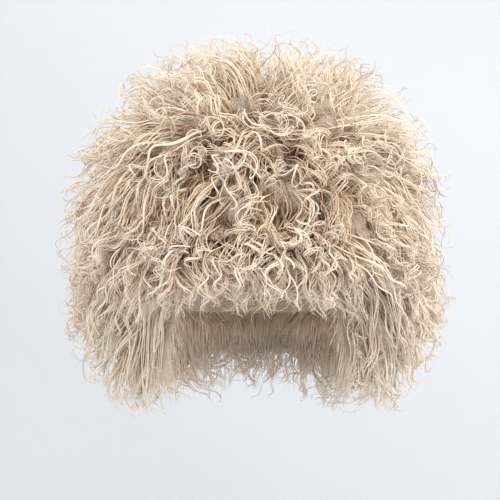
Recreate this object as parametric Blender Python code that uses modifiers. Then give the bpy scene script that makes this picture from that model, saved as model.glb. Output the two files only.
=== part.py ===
"""A fuzzy hat: a soft round cap whose outside carries a deep pile of long curly locks.

Metres, +Z up. The origin is the top of the cap's inside, where the crown of the head bears.
The face opening looks along -Y, and +X is the wearer's left.

The pile is laid out in its own coordinates. A heading runs round the head from the face opening, a slope
runs from +90 degrees at the crown's top through 0 at the widest level to -90 at the hem, and a reach runs
from 0 at the cap's outside to 1 at the tips of the longest locks.
"""

import math

import bmesh
import bpy
import numpy as np

MM = 0.001
QUARTER_TURN = math.radians(90)

# The head that the hat is cut for, and the ease that the cap leaves round it.
HEAD_BREADTH = 155 * MM
HEAD_LENGTH = 192 * MM
HEAD_EASE = 1.5 * MM

# The cap: a hide and knit backing, deepest at the nape and cut high over the face.
CAP_WALL = 2.5 * MM
CROWN_DEPTH = 95 * MM
CROWN_SQUARENESS = 2.2
RIM_AT_FACE = 64 * MM
RIM_AT_EARS = 108 * MM
RIM_AT_NAPE = 132 * MM

# The pile: how far its longest locks stand off the cap, and how far they hang below the rim.
PILE_GAP = 0.4 * MM
PILE_AT_SIDES = 79 * MM
PILE_AT_FACE = 72 * MM
PILE_AT_NAPE = 74 * MM
PILE_AT_TOP = 108 * MM
FRINGE_HANG = 34 * MM
EAR_HANG = 97 * MM
NAPE_HANG = 74 * MM
BELLY_SHARE = 0.38
CROWN_ROUNDNESS = 2.4
HEM_ROUNDNESS = 2.2
FACE_EDGE_FROM = math.radians(48)
FACE_EDGE_TO = math.radians(74)

# The felted mass at the pile's heart, which the locks share.
MASS_REACH = 0.64

# The locks that stand out of that mass.
LOCK_COUNT = 141
LOCK_ROOT_REACH = 0.46
LOCK_SHORTEST_REACH = 0.88
LOCK_ROOT_RADIUS = 18 * MM
LOCK_TIP_RADIUS = 1.6 * MM
LOCK_TAPER = 1.5
LOCK_POINTS = 5
LOCK_DROOP = math.radians(19)
LOCK_SWAY = math.radians(6)
LOCK_TOP_SLOPE = math.radians(84)
LOCK_HEM_SLOPE = math.radians(-80)
LOCK_CURVE = 1.3
LENGTH_BEAT = 2.7
SWAY_BEAT = 1.9
GOLDEN_TURN = math.pi * (3 - math.sqrt(5))

# How finely the round forms are faceted.
FACETS_ROUND = 36
CAP_RINGS = 9
HANG_RINGS = 2
PILE_RINGS = 13
AREA_SAMPLES = 200
WELD_DISTANCE = 0.01 * MM
ON_THE_LEVEL = 1e-6


def smooth_step(value, low, high):
    """0 below low, 1 above high, and an easy curve between them."""
    share = np.clip((value - low) / (high - low), 0.0, 1.0)
    return share * share * (3 - 2 * share)


def turn_from_face(heading):
    """The angle between a heading and the face opening, from 0 to half a turn."""
    return np.abs((heading + math.pi) % (2 * math.pi) - math.pi)


def rim_height(heading):
    """The cap's rim rises over the face and dips at the nape, in one smooth wave round the head."""
    level = -(RIM_AT_FACE + 2 * RIM_AT_EARS + RIM_AT_NAPE) / 4
    tilt = (RIM_AT_NAPE - RIM_AT_FACE) / 2
    ears = (2 * RIM_AT_EARS - RIM_AT_FACE - RIM_AT_NAPE) / 4
    return level + tilt * np.cos(heading) + ears * np.cos(2 * heading)


def hem_height(heading, reach):
    """The pile's lowest level: a short fringe over the face, and long locks from the ears round the nape."""
    turn = turn_from_face(heading)
    behind = smooth_step(turn, QUARTER_TURN, math.pi)
    curtain = EAR_HANG + (NAPE_HANG - EAR_HANG) * behind
    hang = FRINGE_HANG + (curtain - FRINGE_HANG) * smooth_step(turn, FACE_EDGE_FROM, FACE_EDGE_TO)
    return rim_height(heading) - hang * reach


def belly_height(heading):
    """The level where the pile is widest, part of the way down to its hem."""
    return BELLY_SHARE * hem_height(heading, 1)


def head_share(height, lift):
    """The head's width at a height as a share of its greatest, on a form grown outwards by lift."""
    depth = CROWN_DEPTH + lift
    climb = np.clip((CROWN_DEPTH + height) / depth, 0.0, 1.0)
    return (1 - climb**CROWN_SQUARENESS) ** (1 / CROWN_SQUARENESS)


def head_girth(heading, lift):
    """The point at a heading on the head's widest ring, grown outwards by lift, at height 0."""
    across = HEAD_BREADTH / 2 + HEAD_EASE + lift
    along = HEAD_LENGTH / 2 + HEAD_EASE + lift
    return np.array([across * math.sin(heading), -along * math.cos(heading), 0.0])


def round_head(heading, height, lift):
    """The point at a heading and a height on the head's form, grown outwards by lift."""
    return head_girth(heading, lift) * head_share(height, lift) + np.array([0.0, 0.0, height])


def down_the_cap(heading, share, lift):
    """The point a share of the way from the crown's top to the rim, which leaves the top along an arc."""
    height = lift + (rim_height(heading) - lift) * (1 - math.cos(share * QUARTER_TURN))
    return round_head(heading, height, lift)


def pile_depth(heading):
    """How far the longest locks stand off the cap at a heading."""
    front = math.cos(heading) ** 2 * (PILE_AT_FACE if math.cos(heading) > 0 else PILE_AT_NAPE)
    return front + math.sin(heading) ** 2 * PILE_AT_SIDES


def pile_face(heading, slope, reach):
    """The point of the pile at a heading, a slope and a reach. Above its belly the outline is a rounded dome
    about the axis, and below it a rounded hem that closes on the head's side."""
    lift = CAP_WALL + PILE_GAP
    widest = head_girth(heading, lift + pile_depth(heading) * reach)
    belly = belly_height(heading)
    if slope >= 0:
        out = math.cos(slope) ** (2 / CROWN_ROUNDNESS)
        up = math.sin(slope) ** (2 / CROWN_ROUNDNESS)
        height = belly + (lift + PILE_AT_TOP * reach - belly) * up
        return widest * out + np.array([0.0, 0.0, height])
    out = max(math.cos(slope), 0.0) ** (2 / HEM_ROUNDNESS)
    down = math.sin(-slope) ** (2 / HEM_ROUNDNESS)
    height = belly + (hem_height(heading, reach) - belly) * down
    bulge = widest - head_girth(heading, lift) * head_share(belly, lift)
    return round_head(heading, height, lift) + bulge * out


def collection_for(name, shown=True):
    made = bpy.data.collections.new(name)
    made.hide_render = not shown
    bpy.context.scene.collection.children.link(made)
    return made


def material_for(name, colour, roughness):
    material = bpy.data.materials.new(name)
    material.use_nodes = True
    shader = material.node_tree.nodes["Principled BSDF"]
    shader.inputs["Base Color"].default_value = (*colour, 1)
    shader.inputs["Roughness"].default_value = roughness
    shader.inputs["Metallic"].default_value = 0
    return material


def object_from(name, form, collection, material):
    mesh = bpy.data.meshes.new(name)
    form.to_mesh(mesh)
    form.free()
    mesh.materials.append(material)
    made = bpy.data.objects.new(name, mesh)
    collection.objects.link(made)
    return made


def shaped_sphere(rings, place, open_below=False):
    """A sphere whose vertices are moved by place, which takes a heading and a ring's number from the top.
    Open below, it keeps only its upper half."""
    form = bmesh.new()
    bmesh.ops.create_uvsphere(form, u_segments=FACETS_ROUND, v_segments=rings, radius=1)
    if open_below:
        lower = [vertex for vertex in form.verts if vertex.co.z < -ON_THE_LEVEL]
        bmesh.ops.delete(form, geom=lower, context="VERTS")
    for vertex in form.verts:
        ring = round(math.acos(max(-1.0, min(1.0, vertex.co.z))) / math.pi * rings)
        vertex.co = place(math.atan2(vertex.co.x, -vertex.co.y), ring)
    return form


def make_cap(collection):
    """The cap: an open dome that follows the head, thickened outwards into a wall."""
    form = shaped_sphere(
        2 * CAP_RINGS, lambda heading, ring: down_the_cap(heading, ring / CAP_RINGS, 0), open_below=True
    )
    cap = object_from("cap", form, collection, material_for("hide_backing", (0.52, 0.43, 0.34), 0.85))
    wall = cap.modifiers.new("wall", "SOLIDIFY")
    wall.thickness = CAP_WALL
    wall.offset = 1
    wall.use_even_offset = True
    return cap


def pile_ring(heading, ring):
    """Ring 0 is the pile's outer top. The rings go down its outside to the hem, and up its inside again."""
    if ring < PILE_RINGS:
        return pile_face(heading, QUARTER_TURN * (1 - 2 * ring / PILE_RINGS), MASS_REACH)
    lift = CAP_WALL + PILE_GAP
    hem = hem_height(heading, MASS_REACH)
    hung = (ring - PILE_RINGS) / HANG_RINGS
    if hung < 1:
        return round_head(heading, hem + (rim_height(heading) - hem) * hung, lift)
    return down_the_cap(heading, (PILE_RINGS + HANG_RINGS + CAP_RINGS - ring) / CAP_RINGS, lift)


def slopes_by_area(count):
    """Slopes from the top to the hem that give every lock an equal share of the pile's outside."""
    slopes = np.linspace(LOCK_TOP_SLOPE, LOCK_HEM_SLOPE, AREA_SAMPLES)
    outline = np.array([pile_face(QUARTER_TURN, slope, 1) for slope in slopes])
    lengths = np.linalg.norm(np.diff(outline, axis=0), axis=1)
    radii = (outline[1:, 0] + outline[:-1, 0]) / 2
    area = np.concatenate([[0], np.cumsum(lengths * radii)])
    return np.interp((np.arange(count) + 0.5) / count * area[-1], area, slopes)


def lock_path(number, slope):
    """A lock's points from its root inside the mass to its tip. It droops and sways as its reach grows."""
    heading = number * GOLDEN_TURN
    full = 1 - (1 - LOCK_SHORTEST_REACH) * (0.5 + 0.5 * math.sin(LENGTH_BEAT * number))
    sway = LOCK_SWAY * math.sin(SWAY_BEAT * number)
    points = []
    for share in np.linspace(0, 1, LOCK_POINTS):
        fallen = max(slope - LOCK_DROOP * share**2 * math.cos(slope), -QUARTER_TURN)
        turned = heading + sway * math.sin(share * math.pi * LOCK_CURVE)
        points.append(pile_face(turned, fallen, LOCK_ROOT_REACH + (full - LOCK_ROOT_REACH) * share))
    return points


def make_locks(collection):
    """All the locks as tapered tubes on one curve, made a mesh so that they can be joined to the mass."""
    curve = bpy.data.curves.new("locks", "CURVE")
    curve.dimensions = "3D"
    curve.bevel_depth = 1
    curve.bevel_resolution = 0
    curve.use_fill_caps = True
    for number, slope in enumerate(slopes_by_area(LOCK_COUNT)):
        spline = curve.splines.new("POLY")
        spline.points.add(LOCK_POINTS - 1)
        for at, (point, place) in enumerate(zip(spline.points, lock_path(number, slope))):
            share = at / (LOCK_POINTS - 1)
            point.co = (*place, 1)
            point.radius = LOCK_ROOT_RADIUS + (LOCK_TIP_RADIUS - LOCK_ROOT_RADIUS) * share**LOCK_TAPER
    tubes = bpy.data.objects.new("locks_curve", curve)
    collection.objects.link(tubes)
    graph = bpy.context.evaluated_depsgraph_get()
    mesh = bpy.data.meshes.new_from_object(tubes.evaluated_get(graph))
    form = bmesh.new()
    form.from_mesh(mesh)
    bmesh.ops.remove_doubles(form, verts=form.verts, dist=WELD_DISTANCE)
    form.to_mesh(mesh)
    form.free()
    locks = bpy.data.objects.new("locks", mesh)
    locks.matrix_world = tubes.matrix_world
    collection.objects.link(locks)
    bpy.data.objects.remove(tubes)
    locks.hide_render = True
    locks.display_type = "WIRE"
    return locks


def outer_skin(mesh):
    """A mesh's largest connected surface. Pockets that crossing locks shut in are left out, so filled."""
    form = bmesh.new()
    form.from_mesh(mesh)
    bmesh.ops.triangulate(form, faces=form.faces)
    left = set(form.faces)
    skins = []
    while left:
        skin, edge_of_skin = set(), [left.pop()]
        while edge_of_skin:
            face = edge_of_skin.pop()
            skin.add(face)
            shared = [edge for edge in face.edges if len(edge.link_faces) == 2]
            beside = {other for edge in shared for other in edge.link_faces} & left
            left -= beside
            edge_of_skin += beside
        skins.append(skin)
    outer = max(skins, key=len)
    pockets = [face for face in form.faces if face not in outer]
    bmesh.ops.delete(form, geom=pockets, context="FACES")
    return form


def make_fur(collection, guides):
    """The pile: a hollow felted mass over the cap, hanging past its rim, with the locks joined to it."""
    fur_material = material_for("curly_pile", (0.62, 0.50, 0.38), 0.7)
    rings = PILE_RINGS + HANG_RINGS + CAP_RINGS
    mass = object_from("mass", shaped_sphere(rings, pile_ring), guides, fur_material)
    joined = mass.modifiers.new("locks", "BOOLEAN")
    joined.operation = "UNION"
    joined.solver = "EXACT"
    joined.use_self = True
    joined.object = make_locks(guides)
    graph = bpy.context.evaluated_depsgraph_get()
    whole = bpy.data.meshes.new_from_object(mass.evaluated_get(graph))
    fur = object_from("fur", outer_skin(whole), collection, fur_material)
    bpy.data.objects.remove(mass)
    return fur


def main():
    for old in list(bpy.data.objects):
        bpy.data.objects.remove(old)
    hat = collection_for("fuzzy_hat")
    guides = collection_for("guides", shown=False)
    make_cap(hat)
    make_fur(hat, guides)


main()
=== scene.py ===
"""The finish of a fuzzy hat: its knit cap, the felted mass of its pile and the wavy locks over it.

Metres, +Z up. The face opening looks along -Y, and the origin is the top of the cap's inside.

The pile is laid out in its own coordinates. A heading runs round the hat from the face opening, a
slope runs from +90 degrees at the crown's top through 0 at the widest level, the belly, to -90 at the
hem, and a reach runs from 0 at the cap's outside to 1 at the tips of the longest locks.
"""

import math
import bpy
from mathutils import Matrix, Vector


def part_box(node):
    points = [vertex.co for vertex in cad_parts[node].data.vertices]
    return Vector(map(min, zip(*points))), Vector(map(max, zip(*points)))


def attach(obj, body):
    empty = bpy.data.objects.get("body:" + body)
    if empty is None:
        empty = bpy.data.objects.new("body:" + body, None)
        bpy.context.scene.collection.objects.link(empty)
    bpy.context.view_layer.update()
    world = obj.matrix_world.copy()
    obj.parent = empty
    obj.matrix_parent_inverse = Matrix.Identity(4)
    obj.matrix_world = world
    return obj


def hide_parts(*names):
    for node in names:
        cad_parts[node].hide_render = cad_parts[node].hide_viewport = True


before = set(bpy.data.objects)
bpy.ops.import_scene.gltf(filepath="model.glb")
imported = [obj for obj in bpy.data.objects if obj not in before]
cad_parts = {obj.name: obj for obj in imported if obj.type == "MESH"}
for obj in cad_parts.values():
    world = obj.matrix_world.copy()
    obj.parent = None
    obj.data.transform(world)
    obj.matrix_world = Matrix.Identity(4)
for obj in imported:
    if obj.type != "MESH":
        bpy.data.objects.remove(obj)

from types import SimpleNamespace

import bpy
import numpy as np
from bpy.props import FloatProperty, FloatVectorProperty, IntProperty, PointerProperty
from bpy.types import Operator, Panel, PropertyGroup
from mathutils import Vector

bl_info = {
    "name": "Fuzzy hat",
    "version": (1, 0, 0),
    "blender": (4, 5, 0),
    "location": "3D View > Sidebar > Hat",
    "description": "Finishes a cap with a deep pile of long curly locks",
    "category": "Object",
}

MM = 0.001
QUARTER_TURN = math.pi / 2
GOLDEN_TURN = math.pi * (3 - math.sqrt(5))

# The start of each table's random numbers. Soft locks and the felted mass under them share one table.
TUFT_SEED, LOCK_SEED, CURL_SEED, FLYAWAY_SEED = 5, 11, 31, 59
WOOL_SEED, RINGLET_SEED, HOOK_SEED, HEM_SEED = 23, 37, 53, 41

# The studio, in metres: its bowl, the camera, and each lamp's name, place, width, power and tint.
FLOOR_RADIUS = 3.0
BOWL_RADIUS = 5.0
FLOOR_HEIGHT = -1.0
BOWL_CURVE = 2.0
WALL_HEIGHT = 5.0
AIR_TINT = (0.95, 0.97, 1.0, 1)
AIR_STRENGTH = 2.1
WALL_GLOW = 0.40
LENS_MM = 108.8
CAMERA_DISTANCE = 1.3
CAMERA_RISE = math.radians(4)
CAMERA_TARGET = np.array([-0.0055, 0, -0.067])
LAMP_TARGET = np.array([0, 0, -0.05])
LAMPS = (
    ("key", (1.9, -1.3, 0.95), 4.0, 112, (1.0, 0.99, 0.975)),
    ("fill", (-1.9, -1.4, 0.4), 2.7, 41, (1.0, 0.99, 0.98)),
    ("rim", (0.6, 1.9, 1.6), 1.6, 5, (1.0, 1.0, 1.0)),
)

# The cap's own sizes, read from the frame. Its wall shows at the top: the origin is its inside.
CAP_LOW, CAP_HIGH = (np.array(corner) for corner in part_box("cap"))
CAP_WALL = CAP_HIGH[2]
HALF_INSIDE = (CAP_HIGH[:2] - CAP_LOW[:2]) / 2 - CAP_WALL
HAT_MIDDLE = np.array([0, 0, -60 * MM])


def length(name, description, default):
    return FloatProperty(name=name, description=description, default=default, unit="LENGTH", precision=4)


def angle(name, description, degrees):
    turn = math.radians(degrees)
    return FloatProperty(name=name, description=description, default=turn, unit="ROTATION")


def ratio(name, description, default):
    return FloatProperty(name=name, description=description, default=default, subtype="FACTOR")


def number(name, description, default):
    return IntProperty(name=name, description=description, default=default, min=1)


def colour(name, description, default):
    return FloatVectorProperty(
        name=name, description=description, default=default, subtype="COLOR", min=0, max=1
    )


class HatShape(PropertyGroup):
    crown_depth: length("Crown depth", "From the cap's top to its widest level", 95 * MM)
    crown_squareness: ratio("Crown squareness", "2 is a round cap, and more is squarer", 2.2)
    rim_at_face: length("Rim at face", "How far the rim lies below the top, over the face", 64 * MM)
    rim_at_ears: length("Rim at ears", "How far the rim lies below the top, at the ears", 108 * MM)
    rim_at_nape: length("Rim at nape", "How far the rim lies below the top, at the nape", -CAP_LOW[2])
    pile_gap: length("Pile gap", "The gap between the cap and the felted mass", 0.4 * MM)
    pile_at_sides: length("Pile at sides", "How far the longest locks stand off the sides", 79 * MM)
    pile_at_face: length("Pile at face", "How far the longest locks stand off over the face", 72 * MM)
    pile_at_nape: length("Pile at nape", "How far the longest locks stand off the nape", 74 * MM)
    pile_at_top: length("Pile at top", "How far the longest locks stand off the crown", 108 * MM)
    fringe_hang: length("Fringe hang", "How far the fringe hangs below the rim over the face", 34 * MM)
    ear_hang: length("Ear hang", "How far the locks hang below the rim at the ears", 97 * MM)
    nape_hang: length("Nape hang", "How far the locks hang below the rim at the nape", 74 * MM)
    belly_share: ratio("Belly share", "How far down to its hem the pile is widest", 0.38)
    crown_roundness: ratio("Crown roundness", "2 is a round dome, and more is squarer", 2.4)
    hem_roundness: ratio("Hem roundness", "2 is a round hem, and more is squarer", 2.2)
    face_edge_from: angle("Face edge from", "Where the fringe starts to grow longer", 48)
    face_edge_to: angle("Face edge to", "Where the long side locks start", 74)


class HatLocks(PropertyGroup):
    tufts: number("Tufts", "How many tufts the locks gather into", 560)
    count: number("Locks", "How many soft locks the whole pile has", 1800)
    wool_per_lock: number("Wool strands", "How many fine strands one soft lock has", 5)
    curls: number("Curls", "How many ringlets lie over the soft locks", 1250)
    strands_per_curl: number("Ringlet strands", "How many strands one ringlet has", 2)
    flyaways: number("Flyaways", "How many single thin hairs stand past the ringlets", 700)
    hem_hairs: number("Hem hairs", "How many straight hairs hang inside the hem", 1150)
    root_reach: ratio("Root reach", "Where the strands leave the felted mass", 0.50)
    mass_reach: ratio("Mass reach", "How far the felted mass stands off the cap", 0.62)
    bunch: length("Bunch", "The radius of a soft lock at its root", 10 * MM)
    ringlet: length("Ringlet", "The radius of a ringlet's bunch of strands", 1.8 * MM)
    wool_radius: length("Wool radius", "The radius of a wool strand", 0.60 * MM)
    curl_radius: length("Curl radius", "The radius of a ringlet's strand", 0.64 * MM)
    flyaway_radius: length("Flyaway radius", "The radius of a flyaway hair", 0.36 * MM)
    hem_hair_radius: length("Hem hair radius", "The radius of a hem hair", 0.48 * MM)
    loop: length("Loop", "The radius of the widest loops, over the face", 10.5 * MM)
    whorl_slope: angle("Whorl slope", "Where the pile's whorl lies above the face", 48)
    # Round the heart the wool is painted darker as painted shade, and the ringlets paler as painted
    # light.
    heart_slope: angle("Heart slope", "Where the boldest and darkest curls lie", 12)
    heart_heading: angle("Heart heading", "How far round the boldest curls lie", -8)
    heart_full: angle("Heart full", "Within this angle of the heart the curls are boldest", 20)
    heart_edge: angle("Heart edge", "Past this angle from the heart the curls are plain", 75)
    comb: angle("Comb", "How far the locks lean away from the whorl", 9)
    droop: angle("Droop", "How far the locks hang down under their weight", 11)
    flatten: ratio("Flatten", "How much flatter the locks lie behind than over the face", 0.7)
    flare: angle("Flare", "How far the side locks stand out under the belly", 12)
    drift: angle("Drift", "How far the tufts lean out of line", 6)
    fringe_fall: length("Fringe fall", "How far the fringe's longest locks hang below the pile", 17 * MM)
    gather: ratio("Gather", "How far each lock leans to the middle of its tuft", 0.25)


class HatColours(PropertyGroup):
    # The root colour, and the felt's darkest tone made from it, are partly painted shade deep in the
    # pile.
    root: colour("Root", "The wool's colour deep in the pile", (0.40, 0.225, 0.115))
    middle: colour("Middle", "The wool's colour half way up", (0.74, 0.585, 0.435))
    tip: colour("Tip", "The wool's colour at the tips", (0.705, 0.605, 0.485))
    streak: colour("Streak", "The darker streaks along the wool", (0.43, 0.285, 0.175))
    patch: colour("Patch", "The warm pale patches of the wool", (0.78, 0.62, 0.50))
    cap: colour("Cap", "The knit backing's yarn", (0.50, 0.39, 0.29))
    floor: colour("Floor", "The studio's floor and backdrop", (0.485, 0.49, 0.50))


def unit(vectors):
    """Vectors divided by their own lengths."""
    return vectors / np.maximum(np.linalg.norm(vectors, axis=-1, keepdims=True), 1e-12)


def smooth_step(value, low, high):
    """0 below low, 1 above high, and an easy curve between them."""
    share = np.clip((value - low) / (high - low), 0.0, 1.0)
    return share * share * (3 - 2 * share)


def angle_step(value, low, high):
    """0 below a low angle and 1 above a high one, both in degrees, for a value in radians."""
    return smooth_step(value, math.radians(low), math.radians(high))


def nearness(way, middle, full, none):
    """1 where a way lies within the full angle of a middle way, and 0 past the other angle."""
    return smooth_step(way @ middle, math.cos(none), math.cos(full))


def turn_from_face(heading):
    """The angle between a heading and the face opening, from 0 to half a turn."""
    return np.abs((heading + math.pi) % (2 * math.pi) - math.pi)


def rim_height(heading):
    """The rim's level: the mean of its levels at face, ears and nape, plus one and two waves round."""
    shape = bpy.context.scene.hat_shape
    level = -(shape.rim_at_face + 2 * shape.rim_at_ears + shape.rim_at_nape) / 4
    tilt = (shape.rim_at_nape - shape.rim_at_face) / 2
    ears = (2 * shape.rim_at_ears - shape.rim_at_face - shape.rim_at_nape) / 4
    return level + tilt * np.cos(heading) + ears * np.cos(2 * heading)


def hem_height(heading, reach):
    """The pile's lowest level: the rim's less reach times the hang, short at the face and long behind."""
    shape = bpy.context.scene.hat_shape
    turn = turn_from_face(heading)
    behind = smooth_step(turn, QUARTER_TURN, math.pi)
    curtain = shape.ear_hang + (shape.nape_hang - shape.ear_hang) * behind
    beside = smooth_step(turn, shape.face_edge_from, shape.face_edge_to)
    hang = shape.fringe_hang + (curtain - shape.fringe_hang) * beside
    return rim_height(heading) - hang * reach


def cap_share(height, lift):
    """The cap's width at a height over its greatest, (1 - climb^k)^(1/k), on a form grown by lift."""
    shape = bpy.context.scene.hat_shape
    climb = np.clip((shape.crown_depth + height) / (shape.crown_depth + lift), 0.0, 1.0)
    return (1 - climb**shape.crown_squareness) ** (1 / shape.crown_squareness)


def cap_girth(heading, lift):
    """The cap's widest ring at height 0: half its breadth times sine, half its length times cosine."""
    across = (HALF_INSIDE[0] + lift) * np.sin(heading)
    along = -(HALF_INSIDE[1] + lift) * np.cos(heading)
    return np.stack(np.broadcast_arrays(across, along, 0.0), axis=-1)


def cap_form(heading, height, lift):
    """The point on the cap's form: the widest ring times the width's share, raised to the height."""
    ring = cap_girth(heading, lift) * cap_share(height, lift)[..., None]
    ring[..., 2] += height
    return ring


def pile_face(heading, slope, reach):
    """The pile's point. Above the belly it is a superellipse: out = cos(slope)^(2/k) and
    up = sin(slope)^(2/k) times the height left. Below it the same curve with the hem's k adds the bulge
    to the cap's side."""
    shape = bpy.context.scene.hat_shape
    lift = CAP_WALL + shape.pile_gap
    front = np.where(np.cos(heading) > 0, shape.pile_at_face, shape.pile_at_nape)
    depth = np.cos(heading) ** 2 * front + np.sin(heading) ** 2 * shape.pile_at_sides
    widest = cap_girth(heading, lift + depth * reach)
    belly = shape.belly_share * hem_height(heading, 1.0)
    above = slope >= 0
    roundness = np.where(above, shape.crown_roundness, shape.hem_roundness)
    out = np.maximum(np.cos(slope), 0.0) ** (2 / roundness)
    along = np.abs(np.sin(slope)) ** (2 / roundness)
    far = np.where(above, lift + shape.pile_at_top * reach, hem_height(heading, reach))
    height = belly + (far - belly) * along
    dome = widest * out[..., None]
    dome[..., 2] += height
    bulge = widest - cap_girth(heading, lift) * cap_share(belly, lift)[..., None]
    hem = cap_form(heading, height, lift) + bulge * out[..., None]
    return np.where(above[..., None], dome, hem)


def way_of(heading, slope):
    """The unit vector that looks along a heading and a slope."""
    flat = np.cos(slope)
    return np.stack([flat * np.sin(heading), -flat * np.cos(heading), np.sin(slope)], axis=-1)


def even_slopes(count, top, bottom):
    """Slopes that give each of count roots an equal share of the pile's outside, from top to bottom."""
    slopes = np.linspace(top, bottom, 400)
    outline = pile_face(np.full_like(slopes, QUARTER_TURN), slopes, np.full_like(slopes, 0.8))
    lengths = np.linalg.norm(np.diff(outline, axis=0), axis=1)
    area = np.concatenate([[0], np.cumsum(lengths * (outline[1:, 0] + outline[:-1, 0]))])
    return np.interp((np.arange(count) + 0.5) / count * area[-1], area, slopes)


def spread_roots(count, rng, jitter):
    """Unit vectors a golden turn apart at even slopes, each a little out of place."""
    slope = even_slopes(count, math.radians(89), math.radians(-80)) + rng.normal(0, jitter, count)
    heading = np.arange(count) * GOLDEN_TURN + rng.normal(0, jitter, count)
    return way_of(heading, slope)


def whorl_way():
    """The unit vector to the pile's whorl, which every lock leans away from."""
    return way_of(np.float64(0), np.float64(bpy.context.scene.hat_locks.whorl_slope))


def boldness(way):
    """1 round the pile's heart, where the curls are boldest, and 0 past the heart's edge."""
    settings = bpy.context.scene.hat_locks
    heart = way_of(np.float64(settings.heart_heading), np.float64(settings.heart_slope))
    return nearness(way, heart, settings.heart_full, settings.heart_edge)


def lay_tufts():
    """The tufts' table: their middles, and how the locks of each lean, curl and end together."""
    settings = bpy.context.scene.hat_locks
    rng = np.random.default_rng(TUFT_SEED)
    count = settings.tufts
    way = spread_roots(count, rng, math.radians(4))
    front = boldness(way)
    ruffled = nearness(way, whorl_way(), math.radians(10), math.radians(50))
    stray = 1.1 + 0.5 * front + 0.7 * ruffled
    return SimpleNamespace(
        way=way,
        front=front,
        drift=rng.normal(0, settings.drift, (count, 3)) * stray[:, None],
        reach=rng.uniform(-0.07, 0.07, count),
        loop=settings.loop * rng.uniform(0.5, 1.0, count) * (0.8 + 0.2 * front),
        turns=rng.uniform(0.9, 1.5, count) * rng.choice([-1, 1], count),
        phase=rng.uniform(0, 2 * math.pi, count),
        squash=rng.uniform(0.45, 0.95, count),
        tilt=QUARTER_TURN + rng.normal(0, 0.65, count),
        shade=rng.normal(0, 1, count),
    )


def quarter_pieces(kind, locks, strands):
    """Each quarter's piece name and its locks' numbers, each repeated once for each of its strands."""
    quarter = np.round(locks.heading / QUARTER_TURN).astype(int) % 4
    for region, side in enumerate(("face", "left", "nape", "right")):
        yield f"{kind}_{side}", np.repeat(np.flatnonzero(quarter == region), strands)


def nearest_tuft(way, tufts):
    """The number of the tuft that each way belongs to, and the angle to its middle."""
    near = way @ tufts.way.T
    return np.argmax(near, axis=-1), np.arccos(np.clip(np.max(near, axis=-1), -1, 1))


def lay_locks(count, seed):
    """The locks' table. Roots are spread evenly. Each lock leans away from the whorl, down under its
    weight and to the middle of its tuft, and takes its tuft's lean and curl with a little of its own."""
    settings = bpy.context.scene.hat_locks
    rng = np.random.default_rng(seed)
    way = spread_roots(count, rng, math.radians(1.5))
    heading = np.arctan2(way[:, 0], -way[:, 1])
    slope = np.arcsin(way[:, 2])
    tufts = lay_tufts()
    tuft = nearest_tuft(way, tufts)[0]
    # Bands of the pile, each 1 inside and 0 outside: its crown, its upper half, the fringe over the face,
    # the part under the belly, the hem's edge, the lower sides, and the fringe above its own edge.
    crown = angle_step(slope, 35, 60)
    high = angle_step(slope, -25, 15)
    fringe = angle_step(-slope, -15, 20) * (1 - angle_step(turn_from_face(heading), 45, 75))
    low = angle_step(-slope, 5, 30)
    lowest = angle_step(-slope, 50, 75)
    corner = low * (1 - lowest) * (1 - fringe)
    hung = fringe * (1 - angle_step(-slope, 5, 50))
    whorl = whorl_way()
    away = way * (way @ whorl)[:, None] - whorl
    away = away / np.maximum(np.linalg.norm(away, axis=1, keepdims=True), 0.8)
    down = way * way[:, 2:] - np.array([0, 0, 1.0])
    weight = settings.droop * np.maximum(high, fringe) * (1 - 0.7 * crown)
    flare = settings.flare * low * (1 - 0.6 * lowest) * (1 - fringe)
    flatter = 1 + settings.flatten * smooth_step(way[:, 1], -0.5, 0.5)
    hanging = 0.4 * lowest * (1 - fringe) + hung
    drift = np.cross(way, tufts.drift[tuft] + rng.normal(0, settings.drift * 0.4, (count, 3)))
    inward = tufts.way[tuft] - way * np.sum(tufts.way[tuft] * way, axis=1, keepdims=True)
    laid = away * settings.comb + down * weight[:, None]
    lean = laid * flatter[:, None] - down * flare[:, None] + drift
    return SimpleNamespace(
        way=way,
        heading=heading,
        slope=slope,
        crown=crown,
        front=tufts.front[tuft],
        lean=lean + inward * settings.gather,
        aside=unit(np.cross(tufts.way[tuft], lean)),
        tip=rng.uniform(0.84, 1.03, count) + tufts.reach[tuft] + 0.10 * corner + 0.05 * crown,
        fall=settings.fringe_fall * (fringe * rng.uniform(0, 1, count) ** 2 + hanging),
        curl=tufts.loop[tuft] * rng.uniform(0.8, 1.2, count) * (1 - 0.6 * fringe),
        turns=tufts.turns[tuft] * rng.uniform(0.9, 1.1, count),
        phase=tufts.phase[tuft] + rng.normal(0, 0.32, count),
        squash=tufts.squash[tuft],
        tilt=tufts.tilt[tuft] + rng.normal(0, 0.25, count),
        twist=rng.uniform(-1, 1, count) * 2.5,
        shade=tufts.shade[tuft] * 0.6 + rng.normal(0, 0.8, count),
    )


def leaning_angles(locks, which, leant):
    """Headings and slopes along leaning locks. On the dome a lock's way turns with its lean. Below the
    belly its heading and slope take the lean's parts along the level and up, and the slope stops at
    the hem."""
    way = unit(locks.way[which][:, None, :] + locks.lean[which][:, None, :] * leant[..., None])
    dome = np.arctan2(way[..., 0], -way[..., 1]), np.arcsin(np.clip(way[..., 2], -1, 1))
    heading, slope = locks.heading[which][:, None], locks.slope[which][:, None]
    level = np.stack([np.cos(heading), np.sin(heading), np.zeros_like(heading)], axis=-1)
    across = np.sum(locks.lean[which][:, None, :] * level, axis=-1) / np.maximum(np.cos(slope), 0.5)
    steep = np.sin(slope)
    upward = np.stack([-steep * np.sin(heading), steep * np.cos(heading), np.cos(slope)], axis=-1)
    up = np.sum(locks.lean[which][:, None, :] * upward, axis=-1)
    hem = heading + across * leant, np.clip(slope + up * leant, math.radians(-86), 0)
    above = slope >= 0
    return np.where(above, dome[0], hem[0]), np.where(above, dome[1], hem[1])


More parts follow.
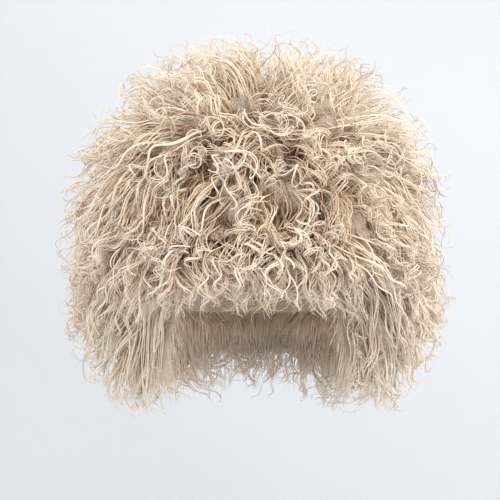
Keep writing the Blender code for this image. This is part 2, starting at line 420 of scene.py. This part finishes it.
def lock_strands(locks, which, rng, share, reach_from, reach_to, style):
    """Strand paths. A strand follows its lock's spine, the pile's face along a leaning way as its reach
    grows, ever slower by the style's slowing. To that it adds an ellipse and the strand's own place in
    the bunch. The ellipse is as wide as the lock's curl times the style's gain, turns faster by the
    style's hook and draws in at the tip. The bunch draws in by the style's narrowing."""
    count = len(which)
    share = share[None, :]
    grown = 1 - (1 - share) ** style.slowing
    heading, slope = leaning_angles(locks, which, grown**1.25)
    reach = reach_from + (reach_to - reach_from)[:, None] * grown
    spine = pile_face(heading, slope, reach)
    spine[..., 2] -= locks.fall[which][:, None] * share**1.5
    along = unit(np.gradient(spine, axis=1))
    aside = locks.aside[which][:, None, :]
    first = unit(np.cross(along, aside))
    second = np.cross(along, first)
    tilt = locks.tilt[which][:, None, None]
    turned = first * np.cos(tilt) + second * np.sin(tilt)
    second = second * np.cos(tilt) - first * np.sin(tilt)
    turn = locks.phase[which] + rng.normal(0, 0.12, count)
    turns = locks.turns[which] * rng.uniform(0.96, 1.04, count)
    swing = turn[:, None] + 2 * math.pi * turns[:, None] * share**style.hook
    wide = (locks.curl[which] * style.gain * rng.uniform(0.9, 1.1, count))[:, None]
    wide = wide * share**0.9 * (1 - 0.35 * share**3)
    squash = locks.squash[which][:, None]
    place = rng.uniform(0, 2 * math.pi, count)[:, None] + locks.twist[which][:, None] * share
    apart = style.bunch * np.sqrt(rng.uniform(0, 1, count))[:, None]
    apart = apart * (1 - style.narrowing * share**0.8)
    own = rng.uniform(0.3, 1.0, count)[:, None] * MM * share
    beat = rng.uniform(0, 2 * math.pi, count)[:, None] + rng.uniform(4, 10, count)[:, None] * share
    x = wide * np.cos(swing) + apart * np.cos(place) + own * np.sin(beat)
    y = wide * squash * np.sin(swing) + apart * np.sin(place) + own * np.cos(beat * 1.3)
    return spine + turned * x[..., None] + second * y[..., None]


def carried_sides(paths):
    """Unit vectors along each path, and a side vector carried down it without twisting."""
    along = unit(np.gradient(paths, axis=1))
    side = np.empty_like(paths)
    start = np.where(np.abs(along[:, 0, 2:]) < 0.8, [[0.0, 0.0, 1.0]], [[1.0, 0.0, 0.0]])
    for station in range(paths.shape[1]):
        here = along[:, station]
        start = unit(start - here * np.sum(start * here, axis=1, keepdims=True))
        side[:, station] = start
    return along, side


def strand_mesh(name, paths, share, radii, shades, sides=3):
    """Closed tapered tubes: rings of sides points round each path, the last ring drawn to one point."""
    count, stations = radii.shape
    along, side = carried_sides(paths)
    other = np.cross(along, side)
    turn = 2 * math.pi * np.arange(sides) / sides
    ring = side[:, :, None] * np.cos(turn)[:, None] + other[:, :, None] * np.sin(turn)[:, None]
    ring = paths[:, :, None] + ring * radii[:, :, None, None]
    body = ring[:, :-1].reshape(count, -1, 3)
    points = np.concatenate([body, paths[:, -1:]], axis=1)
    each = points.shape[1]
    at = np.arange(stations - 2)[:, None] * sides
    here = np.arange(sides)[None, :]
    after = (here + 1) % sides
    quads = [at + here, at + after, at + sides + after, at + sides + here]
    quads = np.stack(quads, axis=-1).reshape(-1, 4)
    last = (stations - 2) * sides
    tips = np.stack([last + here[0], last + after[0], np.full(sides, each - 1)], axis=-1)
    root = np.arange(sides)[None, ::-1]
    start = np.arange(count)[:, None, None] * each
    corners = np.concatenate([(part + start).reshape(-1) for part in (quads, tips, root)])
    sizes = np.repeat([4, 3, sides], [count * len(quads), count * len(tips), count])
    mesh = mesh_from(name, points.reshape(-1, 3), corners, sizes)
    share = np.concatenate([np.repeat(share[:-1], sides), [1.0]])
    point_values(mesh, "share", np.tile(share, count))
    point_values(mesh, "shade", np.repeat(shades, each))
    return mesh


def mesh_from(name, points, corners, sizes):
    """A smooth mesh from its points, its faces' corners one after another and each face's size."""
    mesh = bpy.data.meshes.new(name)
    mesh.vertices.add(len(points))
    mesh.vertices.foreach_set("co", np.ascontiguousarray(points, dtype=np.float32).ravel())
    mesh.loops.add(len(corners))
    mesh.loops.foreach_set("vertex_index", corners.astype(np.int32))
    mesh.polygons.add(len(sizes))
    starts = np.concatenate([[0], np.cumsum(sizes)[:-1]])
    mesh.polygons.foreach_set("loop_start", starts.astype(np.int32))
    mesh.update(calc_edges=True)
    mesh.shade_smooth()
    return mesh


def point_values(mesh, name, values):
    """Keeps a number or a vector for each point of a mesh under a name that its material reads."""
    kind, field = ("FLOAT", "value") if values.ndim == 1 else ("FLOAT_VECTOR", "vector")
    mesh.attributes.new(name, kind, "POINT").data.foreach_set(field, values.astype(np.float32).ravel())


def grid_mesh(name, grid, top_pole, end_pole):
    """A mesh over a grid of closed rings by columns. A pole is one point that closes its end ring."""
    rings, columns = grid.shape[:2]
    points = grid.reshape(-1, 3)
    at = np.arange(rings - 1)[:, None] * columns
    here = np.arange(columns)[None, :]
    after = (here + 1) % columns
    quads = np.stack([at + here, at + columns + here, at + columns + after, at + after], axis=-1)
    corners = [quads.reshape(-1)]
    sizes = [np.full((rings - 1) * columns, 4)]
    for pole, first, flip in ((top_pole, 0, False), (end_pole, (rings - 1) * columns, True)):
        if pole is not None:
            tip = np.full(columns, len(points))
            fan = [tip, first + here[0], first + after[0]]
            corners.append(np.stack(fan[::-1] if flip else fan, axis=-1).reshape(-1))
            sizes.append(np.full(columns, 3))
            points = np.concatenate([points, [pole]])
    return mesh_from(name, points, np.concatenate(corners), np.concatenate(sizes))


class Wire:
    """A socket's output in a material. Python's operators on it add Math nodes."""

    def __init__(self, finish, socket):
        self.finish = finish
        self.socket = socket

    def maths(self, operation, *values):
        return self.finish.node("Math", {"operation": operation}, dict(enumerate(values)))

    def __add__(self, other):
        return self.maths("ADD", self, other)

    __radd__ = __add__

    def __sub__(self, other):
        return self.maths("SUBTRACT", self, other)

    def __rsub__(self, other):
        return self.maths("SUBTRACT", other, self)

    def __mul__(self, other):
        return self.maths("MULTIPLY", self, other)

    __rmul__ = __mul__

    def __truediv__(self, other):
        return self.maths("DIVIDE", self, other)

    def clipped(self):
        return self.finish.node("Clamp", {}, {"Value": self})


class Finish:
    """A material that is built from expressions on wires."""

    def __init__(self, name):
        self.material = bpy.data.materials.new(name)
        self.material.use_nodes = True
        self.tree = self.material.node_tree
        self.shader = self.tree.nodes["Principled BSDF"]

    def feed(self, socket, value):
        """Links a wire to a socket, or sets a plain number or colour on it."""
        if isinstance(value, Wire):
            self.tree.links.new(value.socket, socket)
        elif hasattr(value, "__len__") and len(socket.default_value) == 4:
            socket.default_value = (*value[:3], 1)
        else:
            socket.default_value = value

    def node(self, kind, settings, sockets, output=0):
        """Adds a node, sets its settings and ramp stops first, and then its sockets by name or number."""
        made = self.tree.nodes.new("ShaderNode" + kind)
        for key, value in settings.items():
            if key == "stops":
                for place, tone in value[2:]:
                    made.color_ramp.elements.new(place)
                for element, (place, tone) in zip(made.color_ramp.elements, value):
                    element.position = place
                    element.color = (*tone, 1)
            else:
                setattr(made, key, value)
        for key, value in sockets.items():
            self.feed(made.inputs[key], value)
        return Wire(self, made.outputs[output])

    def attribute(self, name, output="Fac"):
        return self.node("Attribute", {"attribute_name": name}, {}, output=output)

    def place(self):
        return self.node("TexCoord", {}, {}, output="Object")

    def axes(self, vector):
        """The three parts of a vector's wire."""
        spot = self.node("SeparateXYZ", {}, {0: vector}).socket.node
        return [Wire(self, output) for output in spot.outputs]

    def noise(self, vector, scale, detail=2.0, roughness=0.5, distortion=0.0):
        values = {"Vector": vector, "Scale": scale, "Detail": detail, "Roughness": roughness}
        return self.node("TexNoise", {}, {**values, "Distortion": distortion})

    def blend(self, factor, low, high):
        return self.node("Mix", {"data_type": "RGBA"}, {0: factor, 6: low, 7: high}, output=2)

    def ramp(self, factor, stops):
        return self.node("ValToRGB", {"stops": stops}, {"Fac": factor})

    def bump(self, height, strength, distance):
        values = {"Height": height, "Strength": strength, "Distance": distance}
        return self.node("Bump", {}, values, output="Normal")

    def shade(self, **sockets):
        """Feeds the shader's sockets, whose spaces are underscores here, and returns the material."""
        for key, value in sockets.items():
            self.feed(self.shader.inputs[key.replace("_", " ")], value)
        return self.material


def wool_finish(name, lift=0.0):
    """Wool from a dull brown root to a pale tip, each strand in a shade of its own, with darker streaks
    and warm pale patches. The dark root is partly the wool's own tone and partly painted shade deep in
    the pile, and a strand's shade also carries the painted light and shade that its locks are given."""
    colours = bpy.context.scene.hat_colours
    finish = Finish(name)
    share = finish.attribute("share")
    shade = finish.attribute("shade")
    patch = finish.noise(finish.place(), 14.0, 3.0)
    streak = finish.noise(finish.place(), 160.0, 2.0)
    along = (share + (patch - 0.5) * 0.35 + shade * 0.13 + lift).clipped()
    tone = finish.ramp(along, [(0.0, colours.root), (0.42, colours.middle), (0.9, colours.tip)])
    tone = finish.blend(((streak - 0.35) * 0.5).clipped(), tone, colours.streak)
    tone = finish.blend(((patch - 0.45) * 0.9).clipped(), tone, colours.patch)
    return finish.shade(
        Base_Color=tone,
        Roughness=0.58 + streak * 0.25,
        Normal=finish.bump(streak, 0.25, 0.3 * MM),
        Specular_IOR_Level=0.35,
        Sheen_Weight=0.15,
        Sheen_Roughness=0.5,
    )


def felt_finish(name):
    """The felted mass: wool whose streaks run away from the whorl, painted paler on the tufts' crests
    and away from the heart as painted light, and darker in the valleys as painted shade.
    """
    colours = bpy.context.scene.hat_colours
    finish = Finish(name)
    tuft = finish.attribute("tuft")
    comb = finish.attribute("comb", "Vector")
    hair = finish.noise(comb, 75.0, 7.0, 0.8, 0.8)
    lock = finish.noise(comb, 24.0, 2.0, 0.5, 0.6)
    coarse = finish.noise(finish.place(), 60.0, 3.0)
    rough = (hair - 0.5) * (4.2 - tuft) + (coarse - 0.5) * 0.8 + (lock - 0.5) * 2.0
    # Painted light and shade: depth is high on the tufts' crests and away from the heart, which take the
    # pale stops, and low in the valleys, which take the dark stops as painted shade.
    depth = (tuft * 0.68 + 0.15 + rough).clipped()
    dark = [share * 0.7 for share in colours.root]
    pale = [min(share * 1.18, 1) for share in colours.middle]
    stops = [(0.0, dark), (0.3, colours.root), (0.65, colours.middle), (1.0, pale)]
    return finish.shade(
        Base_Color=finish.ramp(depth, stops),
        Roughness=0.7 + hair * 0.2,
        Normal=finish.bump(hair + coarse * 0.3 + lock, 1.0, 6 * MM),
    )


def knit_finish(name):
    """The backing's stockinette: rows of slanted loops, with a painted highlight on their crests and
    painted shade in their hollows, and a nap.
    """
    colours = bpy.context.scene.hat_colours
    finish = Finish(name)
    east, north, up = finish.axes(finish.place())
    columns_round = 180
    row_height = 2.4 * MM
    column = east.maths("ARCTAN2", east, north) * (columns_round / (2 * math.pi))
    slant = column.maths("PINGPONG", column, 0.5)
    row = up / row_height + slant * 1.2
    loop = row.maths("PINGPONG", row, 0.5) * 2
    rib = slant * 2
    nap = finish.noise(finish.place(), 900.0, 3.0, 0.6)
    # Painted light and shade: the loops' crests take the pale tone and their hollows the dark one.
    height = (loop * (1 - (rib - 0.5) * (rib - 0.5))) + nap * 0.35
    pale = [min(share * 1.35, 1) for share in colours.cap]
    dark = [share * 0.55 for share in colours.cap]
    tone = finish.ramp(height.clipped(), [(0.0, dark), (0.45, colours.cap), (1.0, pale)])
    return finish.shade(
        Base_Color=tone,
        Roughness=0.78 + nap * 0.15,
        Normal=finish.bump(height, 0.7, 0.8 * MM),
        Sheen_Weight=0.3,
    )


def studio_finish(name):
    """A matt painted studio bowl that glows a little, most at the upper right, with a faint mottle."""
    colours = bpy.context.scene.hat_colours
    finish = Finish(name)
    place = finish.place()
    mottle = finish.noise(place, 3.0, 3.0)
    east, _, up = finish.axes(place)
    bright = (east * 0.3 + up * 0.6 + 0.65).clipped()
    soft = [share * 0.985 for share in colours.floor]
    dim = [share * 0.05 for share in colours.floor]
    return finish.shade(
        Base_Color=finish.blend(mottle, colours.floor, soft),
        Roughness=0.9,
        Emission_Color=finish.blend(bright, dim, colours.floor),
        Emission_Strength=WALL_GLOW,
    )


def put_in_scene(mesh, material):
    """Links a finished mesh as a piece that moves with the hat and takes its finish from a slot."""
    mesh.materials.append(material)
    piece = bpy.data.objects.new(mesh.name, mesh)
    bpy.context.scene.collection.objects.link(piece)
    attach(piece, "root")
    return piece


class HAT_OT_cap(Operator):
    """Gives the cap its knit backing"""

    bl_idname = "hat.cap"
    bl_label = "Finish the cap"

    def execute(self, context):
        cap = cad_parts["cap"]
        cap.data.materials.clear()
        cap.data.materials.append(knit_finish("knit_backing"))
        return {"FINISHED"}


def felt_tufts(way, slope):
    """The felt's tufts and valleys. A tuft rises from 0 to 1 within 5 degrees of each lock's root, and is
    lower at the crown's top. A valley deepens from 0 to 1 away from the middle of its tuft of locks."""
    locks = lay_locks(bpy.context.scene.hat_locks.count, LOCK_SEED)
    near = np.stack([np.max(row @ locks.way.T, axis=1) for row in way])
    tuft = np.clip(1 - np.arccos(np.clip(near, -1, 1)) / math.radians(5), 0, 1)
    valley = angle_step(nearest_tuft(way, lay_tufts())[1], 2, 7)
    return tuft * np.clip(np.cos(slope) * 2, 0, 1) * (1 - 0.6 * valley), valley


def combed(points):
    """Each point's way round the whorl, as a cosine and sine, and its angle from the whorl, shortened so
    that noise on the three makes long streaks that run away from it."""
    shortened = 0.06
    whorl = whorl_way()
    sideways = np.array([1.0, 0, 0])
    upward = np.cross(whorl, sideways)
    facing = unit(points - HAT_MIDDLE)
    round_it = unit(np.stack([facing @ sideways, facing @ upward], axis=-1))
    away = np.arccos(np.clip(facing @ whorl, -1, 1)) * shortened
    return np.column_stack([round_it, away])


class HAT_OT_undercoat(Operator):
    """Makes the felted mass of the pile, a hollow shell with a tuft at each lock's root"""

    bl_idname = "hat.undercoat"
    bl_label = "Felted undercoat"

    def execute(self, context):
        settings = context.scene.hat_locks
        lift = CAP_WALL + context.scene.hat_shape.pile_gap
        # The shell's columns, and its rows outside, up the curtain's inner face and inside the dome.
        columns, outside, hung, inside = 200, 84, 10, 20
        heading = np.linspace(0, 2 * math.pi, columns, endpoint=False)[None, :]
        slope = QUARTER_TURN * (1 - 2 * (np.arange(outside) + 1) / outside)[:, None]
        slope, round_it = np.broadcast_arrays(slope, heading)
        way = way_of(round_it, slope)
        tuft, valley = felt_tufts(way, slope)
        aside = 1 - boldness(way)
        # Lower in the valleys, higher on the tufts and off the heart, and thinner at the hem.
        full = settings.mass_reach - 0.03 - 0.10 * valley + 0.12 * tuft + 0.08 * aside
        full = full - 0.22 * angle_step(-slope, 55, 85)
        outer = pile_face(round_it, slope, full)
        # The inner face climbs from the hem to the cap's rim, and then follows the cap to its top.
        share = (np.arange(hung) + 1)[:, None] / hung
        hem = hem_height(heading, settings.mass_reach - 0.26)
        rim = rim_height(heading)
        height = hem + (rim - hem) * share
        curtain = cap_form(np.broadcast_to(heading, height.shape), height, lift)
        share = 1 - (np.arange(inside - 1) + 1)[:, None] / inside
        climb = lift + (rim - lift) * (1 - np.cos(share * QUARTER_TURN))
        dome = cap_form(np.broadcast_to(heading, climb.shape), climb, lift)
        top = pile_face(np.zeros(1), np.full(1, QUARTER_TURN), np.full(1, settings.mass_reach))[0]
        grid = np.concatenate([outer, curtain, dome])
        under = np.array([0, 0, lift])
        mesh = grid_mesh("undercoat", grid, top, under)
        inner = np.full((hung + inside - 1) * columns, 0.9)
        # The felt's colour reads this: painted light on the tufts' crests and away from the heart,
        # leaving the valleys darker as painted shade.
        point_values(mesh, "tuft", np.concatenate([(tuft + aside).ravel(), inner, [1.0, 0.0]]))
        point_values(mesh, "comb", combed(np.concatenate([grid.reshape(-1, 3), [top, under]])))
        piece = put_in_scene(mesh, felt_finish("felted_wool"))
        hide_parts("fur")
        return {"FINISHED"}


class HAT_OT_wool(Operator):
    """Makes the fine wool of every soft lock, in four pieces round the hat"""

    bl_idname = "hat.wool"
    bl_label = "Soft wool"

    def execute(self, context):
        settings = context.scene.hat_locks
        rng = np.random.default_rng(WOOL_SEED)
        locks = lay_locks(settings.count, LOCK_SEED)
        loose = rng.normal(0, settings.drift * 0.5, (settings.count, 3))
        locks.lean = locks.lean * 0.75 + np.cross(locks.way, loose)
        # Painted light and shade: the wool is painted paler away from the heart and darker round it.
        pale, darker = 3.4, 5.0
        material = wool_finish("soft_wool", lift=-0.03)
        share = np.linspace(0, 1, 10) ** 0.85
        style = SimpleNamespace(bunch=settings.bunch, narrowing=0.9, gain=1.1, hook=1.2, slowing=1.4)
        for name, which in quarter_pieces("wool", locks, settings.wool_per_lock):
            count = len(which)
            front = locks.front[which]
            reach_to = locks.tip[which] - rng.uniform(0.01, 0.12, count)
            paths = lock_strands(locks, which, rng, share, settings.root_reach, reach_to, style)
            thick = settings.wool_radius * rng.uniform(0.75, 1.25, count) * (1.3 - 0.3 * front)
            radii = thick[:, None] * (1 - share**2 * 0.85)
            shades = locks.shade[which] * 0.5 + rng.normal(0, 0.3, count) + pale - darker * front
            put_in_scene(strand_mesh(name, paths, share, radii, shades), material)
        return {"FINISHED"}


class HAT_OT_curls(Operator):
    """Makes the pale ringlets over the soft locks, in four pieces round the hat"""

    bl_idname = "hat.curls"
    bl_label = "Ringlets"

    def execute(self, context):
        settings = context.scene.hat_locks
        rng = np.random.default_rng(RINGLET_SEED)
        locks = lay_locks(settings.curls, CURL_SEED)
        count = settings.curls
        locks.turns = locks.turns * rng.uniform(1.15, 1.6, count)
        locks.squash = rng.uniform(0.5, 0.95, count)
        locks.tip = np.minimum(locks.tip + rng.uniform(0.02, 0.12, count), 1.11 - 0.04 * locks.crown)
        # Painted light: the ringlets are painted paler round the heart.
        locks.shade = locks.shade + 1.6 + 1.2 * locks.front
        material = wool_finish("pale_ringlets", lift=0.10)
        share = np.linspace(0, 1, 26) ** 0.72
        bunch = settings.ringlet
        style = SimpleNamespace(bunch=bunch, narrowing=0.5, gain=1.15, hook=1.45, slowing=1.8)
        root = settings.root_reach + 0.06
        for name, which in quarter_pieces("curls", locks, settings.strands_per_curl):
            count = len(which)
            reach_to = locks.tip[which] - rng.uniform(0, 0.05, count)
            paths = lock_strands(locks, which, rng, share, root, reach_to, style)
            thick = settings.curl_radius * rng.uniform(0.55, 1.25, count)
            thick = thick * (1 + 0.2 * locks.front[which] - 0.25 * locks.crown[which])
            radii = thick[:, None] * (1 - share**3 * 0.75)
            shades = locks.shade[which] * 0.7 + rng.normal(0, 0.4, count)
            put_in_scene(strand_mesh(name, paths, share, radii, shades), material)
        return {"FINISHED"}


class HAT_OT_flyaways(Operator):
    """Makes the single thin hairs that stand out past the ringlets and hook at their tips"""

    bl_idname = "hat.flyaways"
    bl_label = "Flyaway hairs"

    def execute(self, context):
        settings = context.scene.hat_locks
        rng = np.random.default_rng(HOOK_SEED)
        count = settings.flyaways
        locks = lay_locks(count, FLYAWAY_SEED)
        locks.curl = settings.loop * rng.uniform(0.4, 0.9, count)
        locks.squash = rng.uniform(0.5, 1.0, count)
        locks.turns = locks.turns * rng.uniform(0.9, 1.5, count)
        share = np.linspace(0, 1, 15) ** 0.68
        style = SimpleNamespace(bunch=0.0, narrowing=0.9, gain=1.0, hook=1.6, slowing=1.6)
        reach_to = np.minimum(locks.tip + rng.uniform(0.04, 0.18, count), 1.13 - 0.05 * locks.crown)
        paths = lock_strands(locks, np.arange(count), rng, share, settings.mass_reach, reach_to, style)
        radii = settings.flyaway_radius * rng.uniform(0.7, 1.3, (count, 1)) * (1 - share**3 * 0.7)
        # Painted shade: the flyaways are painted dark brown, as thin hairs seen against the light.
        mesh = strand_mesh("flyaways", paths, share, radii, rng.normal(-5, 2, count))
        put_in_scene(mesh, wool_finish("flyaway_wool"))
        return {"FINISHED"}


class HAT_OT_hem_hairs(Operator):
    """Makes the fine hairs that hang inside the hem, from the rim down"""

    bl_idname = "hat.hem_hairs"
    bl_label = "Hem hairs"

    def execute(self, context):
        settings = context.scene.hat_locks
        rng = np.random.default_rng(HEM_SEED)
        count = settings.hem_hairs
        heading = (np.arange(count) + rng.uniform(0, 1, count))[:, None] / count * 2 * math.pi
        share = np.linspace(0, 1, 8)
        low = hem_height(heading, rng.uniform(0.45, 1.0, (count, 1)))
        high = rim_height(heading) - rng.uniform(1, 12, (count, 1)) * MM
        height = high + (low - high) * share
        inward = rng.uniform(-1, 3, (count, 1)) * share + rng.uniform(0, 10, (count, 1)) * share**3
        lift = CAP_WALL + context.scene.hat_shape.pile_gap + (0.3 - inward) * MM
        wave = np.sin(rng.uniform(0, 6.3, (count, 1)) + share * rng.uniform(5, 11, (count, 1)))
        sway = rng.normal(0, 0.10, (count, 1)) * share**1.5 + 0.03 * share * wave
        paths = cap_form(heading + sway, height, lift)
        radii = settings.hem_hair_radius * rng.uniform(0.7, 1.3, (count, 1)) * (1 - share**2 * 0.8)
        mesh = strand_mesh("hem_hairs", paths, share, radii, rng.normal(0, 0.8, count))
        put_in_scene(mesh, wool_finish("hem_wool", lift=0.1))
        return {"FINISHED"}


class HAT_OT_studio(Operator):
    """Makes the pale studio bowl, its soft lights and the camera"""

    bl_idname = "hat.studio"
    bl_label = "Studio and camera"

    def execute(self, context):
        scene = context.scene
        arc = np.linspace(0, QUARTER_TURN, 24)
        flat = np.linspace(0.2, FLOOR_RADIUS, 8)
        curve = FLOOR_RADIUS + (BOWL_RADIUS - FLOOR_RADIUS) * np.sin(arc)
        radius = np.concatenate([flat, curve, [BOWL_RADIUS]])[:, None]
        rise = np.concatenate([np.zeros(len(flat)), BOWL_CURVE * (1 - np.cos(arc)), [WALL_HEIGHT]])
        height = FLOOR_HEIGHT + rise
        turn = np.linspace(0, 2 * math.pi, 96, endpoint=False)
        rings = np.broadcast_arrays(radius * np.cos(turn), radius * np.sin(turn), height[:, None])
        grid = np.stack(rings, axis=-1)
        mesh = grid_mesh("studio_floor", grid, np.array([0, 0, FLOOR_HEIGHT]), None)
        mesh.materials.append(studio_finish("studio_paint"))
        floor = bpy.data.objects.new("studio_floor", mesh)
        scene.collection.objects.link(floor)
        world = bpy.data.worlds.new("studio_air")
        world.use_nodes = True
        air = world.node_tree.nodes["Background"]
        air.inputs["Color"].default_value = AIR_TINT
        air.inputs["Strength"].default_value = AIR_STRENGTH
        scene.world = world
        for name, place, size, power, tint in LAMPS:
            lamp = bpy.data.lights.new(name, "AREA")
            lamp.shape = "DISK"
            lamp.size = size
            lamp.energy = power
            lamp.color = tint
            holder = bpy.data.objects.new(name, lamp)
            holder.visible_camera = False
            scene.collection.objects.link(holder)
            aim(holder, np.array(place), LAMP_TARGET)
        eye = bpy.data.objects.new("camera", bpy.data.cameras.new("camera"))
        scene.collection.objects.link(eye)
        eye.data.lens = LENS_MM
        eye.data.clip_start = 0.05
        back = np.array([0, -math.cos(CAMERA_RISE), math.sin(CAMERA_RISE)])
        aim(eye, CAMERA_TARGET + CAMERA_DISTANCE * back, CAMERA_TARGET)
        scene.camera = eye
        scene.view_settings.view_transform = "Standard"
        return {"FINISHED"}


def aim(thing, place, target):
    """Sets an object at a place with its -Z axis towards a target."""
    thing.location = place
    thing.rotation_euler = Vector(target - place).to_track_quat("-Z", "Y").to_euler()


class HAT_PT_panel(Panel):
    """Lists the hat's sizes and the steps that make it"""

    bl_idname = "HAT_PT_panel"
    bl_label = "Fuzzy hat"
    bl_space_type = "VIEW_3D"
    bl_region_type = "UI"
    bl_category = "Hat"

    def draw(self, context):
        for group in (context.scene.hat_shape, context.scene.hat_locks, context.scene.hat_colours):
            box = self.layout.box()
            for key in group.__annotations__:
                box.prop(group, key)
        for step in STEPS:
            self.layout.operator(step.bl_idname)


GROUPS = {"hat_shape": HatShape, "hat_locks": HatLocks, "hat_colours": HatColours}
STEPS = (
    HAT_OT_cap,
    HAT_OT_undercoat,
    HAT_OT_wool,
    HAT_OT_curls,
    HAT_OT_flyaways,
    HAT_OT_hem_hairs,
    HAT_OT_studio,
)


def register():
    for made in (*GROUPS.values(), *STEPS, HAT_PT_panel):
        bpy.utils.register_class(made)
    for key, group in GROUPS.items():
        setattr(bpy.types.Scene, key, PointerProperty(type=group))


def unregister():
    for key in GROUPS:
        delattr(bpy.types.Scene, key)
    for made in reversed((*GROUPS.values(), *STEPS, HAT_PT_panel)):
        bpy.utils.unregister_class(made)


def main():
    register()
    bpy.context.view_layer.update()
    bpy.ops.hat.cap()
    bpy.ops.hat.undercoat()
    bpy.ops.hat.wool()
    bpy.ops.hat.curls()
    bpy.ops.hat.flyaways()
    bpy.ops.hat.hem_hairs()
    bpy.ops.hat.studio()


if __name__ == "__main__":
    main()
